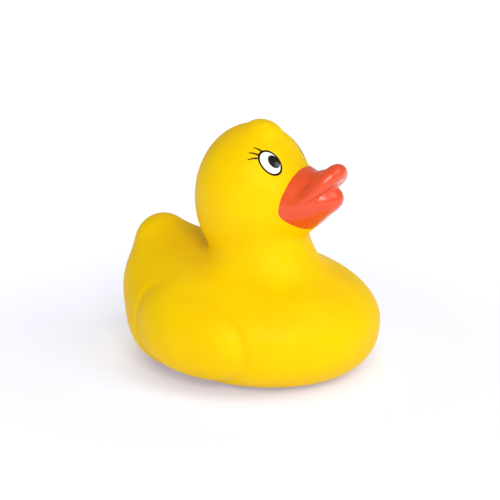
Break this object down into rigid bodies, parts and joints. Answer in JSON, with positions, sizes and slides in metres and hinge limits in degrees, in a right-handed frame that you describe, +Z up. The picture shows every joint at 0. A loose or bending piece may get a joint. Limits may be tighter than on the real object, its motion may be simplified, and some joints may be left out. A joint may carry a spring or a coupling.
{
  "type": "rubber duck",
  "caption": "Hollow soft vinyl bath duck with an upturned bill and a flat foot to stand on.",
  "frame": {"origin": "middle of the duck's outline in plan, on the surface it stands on", "axes": "+X forward towards the bill, +Y to the duck's left, +Z up"},
  "size_m": [0.0837, 0.074, 0.0775],
  "materials": {
    "yellow_vinyl": "satin"
  },
  "bodies": {
    "root": {"duck_body": "yellow_vinyl"}
  },
  "joints": []
}
